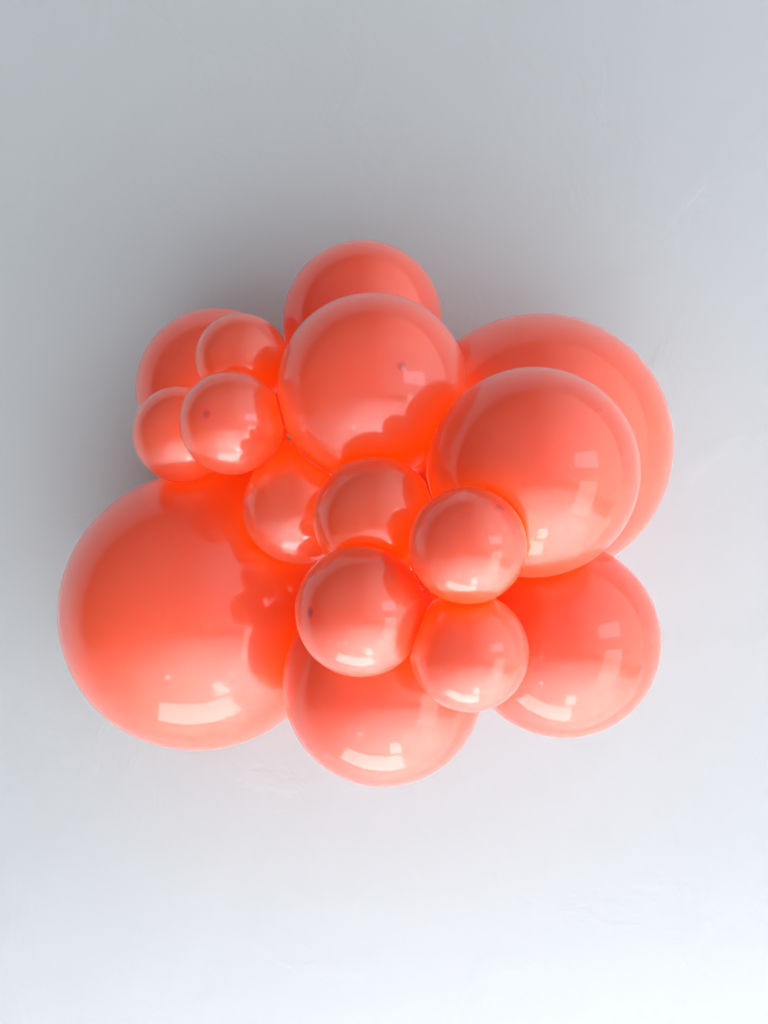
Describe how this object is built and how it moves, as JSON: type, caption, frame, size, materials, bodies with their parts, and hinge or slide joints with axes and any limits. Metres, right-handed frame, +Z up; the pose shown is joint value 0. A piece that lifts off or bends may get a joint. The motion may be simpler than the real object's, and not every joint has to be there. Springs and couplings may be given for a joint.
{
  "type": "balloon garland",
  "caption": "Wall-hung garland of round glossy latex balloons in large, medium and small sizes, tied neck to neck into one tight, uneven cluster.",
  "frame": {"origin": "middle of the flat spot where the large right balloon is pressed against the wall", "axes": "+Y into the wall, +Z up, +X to the right as seen from the room; the garland stands out towards -Y"},
  "size_m": [0.686, 0.4803, 0.5815],
  "materials": {
    "latex_large": "glossy coral latex, blown to full size",
    "latex_medium": "glossy coral latex, blown to about two thirds",
    "latex_small": "glossy coral latex, small balloons"
  },
  "bodies": {
    "root": {"balloon_large_left": "latex_large", "balloon_large_right": "latex_large", "balloon_upper_left": "latex_medium", "balloon_top": "latex_medium", "balloon_centre": "latex_medium", "balloon_right": "latex_medium", "balloon_lower_right": "latex_medium", "balloon_bottom": "latex_medium", "balloon_small_upper": "latex_small", "balloon_small_front_left": "latex_small", "balloon_small_left": "latex_small", "balloon_small_inner_left": "latex_small", "balloon_small_middle": "latex_small", "balloon_small_right": "latex_small", "balloon_small_front": "latex_small", "balloon_small_lower": "latex_small"}
  },
  "joints": []
}
